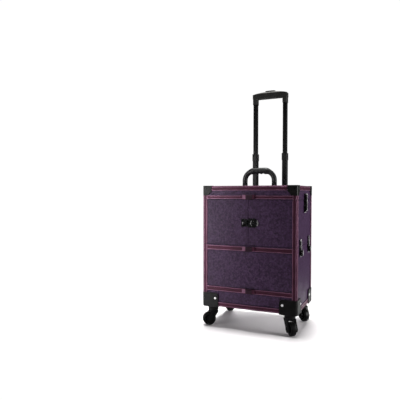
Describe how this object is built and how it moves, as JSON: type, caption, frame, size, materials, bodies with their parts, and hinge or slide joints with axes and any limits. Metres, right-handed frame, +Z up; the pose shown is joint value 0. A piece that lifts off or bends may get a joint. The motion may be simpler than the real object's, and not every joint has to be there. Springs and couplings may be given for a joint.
{
  "type": "rolling makeup case",
  "caption": "Hard makeup case on swivel casters with a hinged lid, two side wings with trays, two drawers, turn latches, a carry handle and a telescopic trolley handle.",
  "frame": {"origin": "on the floor, below the middle of the bounding box", "axes": "+X to the right seen from the front, +Y to the back, +Z up"},
  "size_m": [0.3914, 0.3268, 0.97],
  "materials": {
    "covered_board": "embossed purple artificial leather over board",
    "wine_profile": "wine red anodised",
    "bright_steel": "polished",
    "black_plastic": "moulded black",
    "black_metal": "black lacquer",
    "grey_tube": "dark satin",
    "black_tube": "black satin",
    "lining_plastic": "black moulded tray",
    "wheel_rubber": "matt black"
  },
  "bodies": {
    "base": {"base_panels": "covered_board", "rear_panel": "covered_board", "base_profiles": "wine_profile", "caster_corners": "black_plastic", "base_rivets": "bright_steel", "drawer_runners": "lining_plastic", "trolley_outer_tubes": "grey_tube", "trolley_top_bracket": "black_plastic", "trolley_foot_bracket": "black_plastic", "wing_hinge_plates": "black_metal", "lid_hinge_plates": "black_metal", "hinge_pins": "bright_steel", "side_latch_plates": "black_metal", "rail_clasp_brackets": "bright_steel"},
    "left_wing": {"left_wing_panels": "covered_board", "left_wing_profiles": "wine_profile", "left_wing_trays": "lining_plastic", "left_wing_hinge_leaf": "black_metal", "left_wing_fittings": "black_metal"},
    "right_wing": {"right_wing_panels": "covered_board", "right_wing_profiles": "wine_profile", "right_wing_trays": "lining_plastic", "right_wing_hinge_leaf": "black_metal", "right_wing_fittings": "black_metal"},
    "lid": {"lid_panels": "covered_board", "lid_profiles": "wine_profile", "lid_corners": "black_plastic", "lid_rivets_and_pins": "bright_steel", "lid_hinge_leaves": "black_metal", "lid_fittings": "bright_steel", "handle_feet": "black_plastic"},
    "carry_handle": {"carry_handle": "black_plastic"},
    "lid_clasp": {"lid_clasp": "black_metal"},
    "upper_rail_clasp": {"upper_rail_clasp": "black_metal"},
    "lower_rail_clasp": {"lower_rail_clasp": "black_metal"},
    "left_lid_latch": {"left_lid_latch": "black_metal"},
    "right_lid_latch": {"right_lid_latch": "black_metal"},
    "front_latch_turn": {"front_latch_turn": "black_metal"},
    "front_left_latch_turn": {"front_left_latch_turn": "black_metal"},
    "back_left_latch_turn": {"back_left_latch_turn": "black_metal"},
    "front_right_latch_turn": {"front_right_latch_turn": "black_metal"},
    "back_right_latch_turn": {"back_right_latch_turn": "black_metal"},
    "deep_drawer": {"deep_drawer_front": "covered_board", "deep_drawer_box": "lining_plastic"},
    "shallow_drawer": {"shallow_drawer_front": "covered_board", "shallow_drawer_box": "lining_plastic"},
    "trolley_middle": {"trolley_middle_tubes": "grey_tube", "trolley_collars": "black_plastic"},
    "trolley_upper": {"trolley_upper_tubes": "black_tube", "trolley_grip": "black_plastic"},
    "trolley_button": {"trolley_button": "black_plastic", "trolley_lock_rods": "bright_steel"},
    "front_left_caster": {"front_left_fork": "black_plastic"},
    "front_left_wheel_body": {"front_left_wheel": "wheel_rubber"},
    "front_right_caster": {"front_right_fork": "black_plastic"},
    "front_right_wheel_body": {"front_right_wheel": "wheel_rubber"},
    "back_left_caster": {"back_left_fork": "black_plastic"},
    "back_left_wheel_body": {"back_left_wheel": "wheel_rubber"},
    "back_right_caster": {"back_right_fork": "black_plastic"},
    "back_right_wheel_body": {"back_right_wheel": "wheel_rubber"}
  },
  "joints": [
    {"name": "lid_hinge", "type": "hinge", "parent": "base", "child": "lid", "pos_m": [0, 0.12035, 0.4995], "axis": [-1, 0, 0], "range_deg": [0, 12]},
    {"name": "left_wing_hinge", "type": "hinge", "parent": "base", "child": "left_wing", "pos_m": [-0.1305, 0.12035, 0.413], "axis": [0, 0, -1], "range_deg": [0, 105]},
    {"name": "right_wing_hinge", "type": "hinge", "parent": "base", "child": "right_wing", "pos_m": [0.1305, 0.12035, 0.413], "axis": [0, 0, 1], "range_deg": [0, 105]},
    {"name": "deep_drawer_slide", "type": "slide", "parent": "base", "child": "deep_drawer", "axis": [0, -1, 0], "range_m": [0, 0.19]},
    {"name": "shallow_drawer_slide", "type": "slide", "parent": "base", "child": "shallow_drawer", "axis": [0, -1, 0], "range_m": [0, 0.19]},
    {"name": "carry_handle_hinge", "type": "hinge", "parent": "lid", "child": "carry_handle", "pos_m": [0, -0.01765, 0.5624], "axis": [1, 0, 0], "range_deg": [-85, 85]},
    {"name": "trolley_middle_slide", "type": "slide", "parent": "base", "child": "trolley_middle", "axis": [0, 0, 1], "range_m": [-0.259, 0]},
    {"name": "trolley_upper_slide", "type": "slide", "parent": "trolley_middle", "child": "trolley_upper", "axis": [0, 0, 1], "range_m": [-0.214, 0]},
    {"name": "trolley_button_press", "type": "slide", "parent": "trolley_upper", "child": "trolley_button", "axis": [0, 0, -1], "range_m": [0, 0.004], "stiffness_N_per_m": 800, "springref_m": -0.004},
    {"name": "front_left_latch_spin", "type": "hinge", "parent": "base", "child": "front_left_latch_turn", "pos_m": [-0.1834, -0.09265, 0.3025], "axis": [-1, 0, 0], "range_deg": [0, 180]},
    {"name": "back_left_latch_spin", "type": "hinge", "parent": "base", "child": "back_left_latch_turn", "pos_m": [-0.1834, 0.05735, 0.3025], "axis": [-1, 0, 0], "range_deg": [0, 180]},
    {"name": "front_right_latch_spin", "type": "hinge", "parent": "base", "child": "front_right_latch_turn", "pos_m": [0.1834, -0.09265, 0.3025], "axis": [1, 0, 0], "range_deg": [0, 180]},
    {"name": "back_right_latch_spin", "type": "hinge", "parent": "base", "child": "back_right_latch_turn", "pos_m": [0.1834, 0.05735, 0.3025], "axis": [1, 0, 0], "range_deg": [0, 180]},
    {"name": "front_latch_spin", "type": "hinge", "parent": "right_wing", "child": "front_latch_turn", "pos_m": [0.024, -0.15105, 0.412], "axis": [0, -1, 0], "range_deg": [0, 180]},
    {"name": "left_lid_latch_lever", "type": "hinge", "parent": "left_wing", "child": "left_lid_latch", "pos_m": [-0.1899, -0.01765, 0.4565], "axis": [0, -1, 0], "range_deg": [0, 150]},
    {"name": "right_lid_latch_lever", "type": "hinge", "parent": "right_wing", "child": "right_lid_latch", "pos_m": [0.1899, -0.01765, 0.4565], "axis": [0, 1, 0], "range_deg": [0, 150]},
    {"name": "lid_clasp_flap", "type": "hinge", "parent": "lid", "child": "lid_clasp", "pos_m": [0.005, -0.15755, 0.5161], "axis": [-1, 0, 0], "range_deg": [0, 90]},
    {"name": "upper_rail_clasp_flap", "type": "hinge", "parent": "base", "child": "upper_rail_clasp", "pos_m": [0.005, -0.15755, 0.3203], "axis": [-1, 0, 0], "range_deg": [0, 90]},
    {"name": "lower_rail_clasp_flap", "type": "hinge", "parent": "base", "child": "lower_rail_clasp", "pos_m": [0.005, -0.15755, 0.1593], "axis": [-1, 0, 0], "range_deg": [0, 90]},
    {"name": "front_left_swivel", "type": "hinge", "parent": "base", "child": "front_left_caster", "pos_m": [-0.154, -0.12165, 0.06], "axis": [0, 0, 1], "continuous": true},
    {"name": "front_left_roll", "type": "hinge", "parent": "front_left_caster", "child": "front_left_wheel_body", "pos_m": [-0.16793, -0.1314, 0.026], "axis": [0.5736, -0.8192, 0], "continuous": true},
    {"name": "front_right_swivel", "type": "hinge", "parent": "base", "child": "front_right_caster", "pos_m": [0.154, -0.12165, 0.06], "axis": [0, 0, 1], "continuous": true},
    {"name": "front_right_roll", "type": "hinge", "parent": "front_right_caster", "child": "front_right_wheel_body", "pos_m": [0.16375, -0.13558, 0.026], "axis": [0.8192, 0.5736, 0], "continuous": true},
    {"name": "back_left_swivel", "type": "hinge", "parent": "base", "child": "back_left_caster", "pos_m": [-0.154, 0.08635, 0.06], "axis": [0, 0, 1], "continuous": true},
    {"name": "back_left_roll", "type": "hinge", "parent": "back_left_caster", "child": "back_left_wheel_body", "pos_m": [-0.16793, 0.0961, 0.026], "axis": [-0.5736, -0.8192, 0], "continuous": true},
    {"name": "back_right_swivel", "type": "hinge", "parent": "base", "child": "back_right_caster", "pos_m": [0.154, 0.08635, 0.06], "axis": [0, 0, 1], "continuous": true},
    {"name": "back_right_roll", "type": "hinge", "parent": "back_right_caster", "child": "back_right_wheel_body", "pos_m": [0.16602, 0.07433, 0.026], "axis": [0.7071, 0.7071, 0], "continuous": true}
  ]
}
